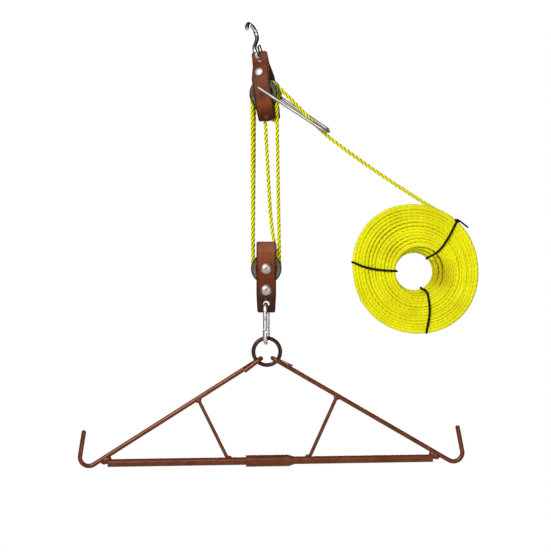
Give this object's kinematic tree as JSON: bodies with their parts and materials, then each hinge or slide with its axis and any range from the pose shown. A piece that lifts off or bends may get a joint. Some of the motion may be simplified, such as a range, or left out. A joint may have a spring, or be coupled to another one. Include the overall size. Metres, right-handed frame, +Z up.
{
  "type": "hanging pulley hoist",
  "caption": "Rope block-and-tackle hoist with two hanging sheave blocks, an S-hook, a coiled haul rope and a folding gambrel with an upturned hook at each end.",
  "frame": {"origin": "inner top of the S-hook's upper bend, where it bears on the support it hangs from", "axes": "+Z up, +X along the gambrel's crossbar to the hoist's right, +Y to the hoist's rear, away from the coil"},
  "size_m": [0.6053, 0.1425, 0.679],
  "materials": {
    "brown_paint": "semi-gloss brown paint",
    "zinc_steel": "bright zinc plate",
    "sheave_metal": "dull grey casting",
    "bush_bronze": "oiled sintered bronze",
    "yellow_rope": "twisted polypropylene",
    "black_tie": "soft black"
  },
  "bodies": {
    "s_hook": {"s_hook": "zinc_steel"},
    "upper_block": {"upper_plate_front": "brown_paint", "upper_plate_rear": "brown_paint", "upper_axle": "brown_paint", "becket_pin": "brown_paint", "upper_rivet": "zinc_steel", "upper_washers": "zinc_steel", "upper_rope_turn_front": "yellow_rope", "upper_rope_turn_rear": "yellow_rope", "dead_end_knot": "yellow_rope", "rope_fall_1": "yellow_rope", "rope_fall_2": "yellow_rope", "rope_fall_3": "yellow_rope", "rope_fall_4": "yellow_rope", "haul_line": "yellow_rope", "rope_coil": "yellow_rope", "coil_tie_top": "black_tie", "coil_tie_left": "black_tie", "coil_tie_bottom": "black_tie"},
    "upper_sheave_front": {"upper_sheave_front": "sheave_metal", "upper_bush_front": "bush_bronze"},
    "upper_sheave_rear": {"upper_sheave_rear": "sheave_metal", "upper_bush_rear": "bush_bronze"},
    "bail": {"bail": "zinc_steel"},
    "lower_block": {"lower_plate_front": "brown_paint", "lower_plate_rear": "brown_paint", "lower_axle_bolt": "zinc_steel", "lower_clamp_bolt": "zinc_steel", "lower_nuts": "zinc_steel", "lower_spacer_tube": "zinc_steel", "lower_washers": "zinc_steel", "lower_rope_turn_front": "yellow_rope", "lower_rope_turn_rear": "yellow_rope"},
    "lower_sheave_front": {"lower_sheave_front": "sheave_metal", "lower_bush_front": "bush_bronze"},
    "lower_sheave_rear": {"lower_sheave_rear": "sheave_metal", "lower_bush_rear": "bush_bronze"},
    "snap_hook": {"snap_body": "zinc_steel", "snap_gate_pin": "zinc_steel"},
    "snap_gate": {"snap_gate": "zinc_steel", "snap_gate_spring": "zinc_steel"},
    "ring": {"ring": "brown_paint"},
    "left_arm": {"left_hook_rod": "brown_paint", "left_crossbar_tube": "brown_paint", "left_strut": "brown_paint", "left_welds": "brown_paint"},
    "right_arm": {"right_hook_rod": "brown_paint", "right_crossbar_tube": "brown_paint", "right_strut": "brown_paint", "right_welds": "brown_paint", "crossbar_sleeve": "brown_paint"}
  },
  "joints": [
    {"name": "block_swing", "type": "hinge", "parent": "s_hook", "child": "upper_block", "pos_m": [0.01548, -0.00684, -0.04935], "axis": [0.4067, 0.9135, 0], "range_deg": [-12, 12]},
    {"name": "bail_swing", "type": "hinge", "parent": "upper_block", "child": "bail", "pos_m": [0.01754, -0.00776, -0.09308], "axis": [-0.4067, -0.9135, 0], "range_deg": [0, 75]},
    {"name": "upper_front_spin", "type": "hinge", "parent": "upper_block", "child": "upper_sheave_front", "pos_m": [0.02191, -0.01452, -0.1031], "axis": [0.4067, 0.9135, 0], "continuous": true},
    {"name": "upper_rear_spin", "type": "hinge", "parent": "upper_block", "child": "upper_sheave_rear", "pos_m": [0.02549, -0.00648, -0.1031], "axis": [0.4067, 0.9135, 0], "continuous": true},
    {"name": "lift", "type": "slide", "parent": "upper_block", "child": "lower_block", "axis": [0, 0, 1], "range_m": [0, 0.16], "deforming": ["rope_fall_1", "rope_fall_2", "rope_fall_3", "rope_fall_4"]},
    {"name": "lower_front_spin", "type": "hinge", "parent": "lower_block", "child": "lower_sheave_front", "pos_m": [0.0248, -0.0149, -0.3686], "axis": [0, 1, 0], "continuous": true},
    {"name": "lower_rear_spin", "type": "hinge", "parent": "lower_block", "child": "lower_sheave_rear", "pos_m": [0.0248, -0.0061, -0.3686], "axis": [0, 1, 0], "continuous": true},
    {"name": "snap_swing", "type": "hinge", "parent": "lower_block", "child": "snap_hook", "pos_m": [0.0248, -0.0105, -0.4232], "axis": [0, 1, 0], "range_deg": [-20, 20]},
    {"name": "gate_swing", "type": "hinge", "parent": "snap_hook", "child": "snap_gate", "pos_m": [0.02306, -0.02035, -0.4392], "axis": [0.9848, -0.1736, 0], "range_deg": [0, 22], "stiffness_Nm_per_rad": 0.02, "springref_deg": -11.46},
    {"name": "ring_swing", "type": "hinge", "parent": "snap_hook", "child": "ring", "pos_m": [0.0257, -0.0105, -0.4745], "axis": [1, 0, 0], "range_deg": [-20, 20]},
    {"name": "left_fold", "type": "hinge", "parent": "ring", "child": "left_arm", "pos_m": [0.0257, -0.0105, -0.4949], "axis": [0, 1, 0], "range_deg": [0, 25]},
    {"name": "right_fold", "type": "hinge", "parent": "ring", "child": "right_arm", "pos_m": [0.0257, -0.0105, -0.4949], "axis": [0, 1, 0], "range_deg": [-25, 0]}
  ],
  "couplings": [
    {"joint": "lower_front_spin", "follows": "lift", "rad_per_m": 49.383},
    {"joint": "upper_front_spin", "follows": "lift", "rad_per_m": 98.765},
    {"joint": "lower_rear_spin", "follows": "lift", "rad_per_m": 148.15},
    {"joint": "upper_rear_spin", "follows": "lift", "rad_per_m": 197.53},
    {"joint": "right_fold", "follows": "left_fold", "ratio": -1}
  ]
}
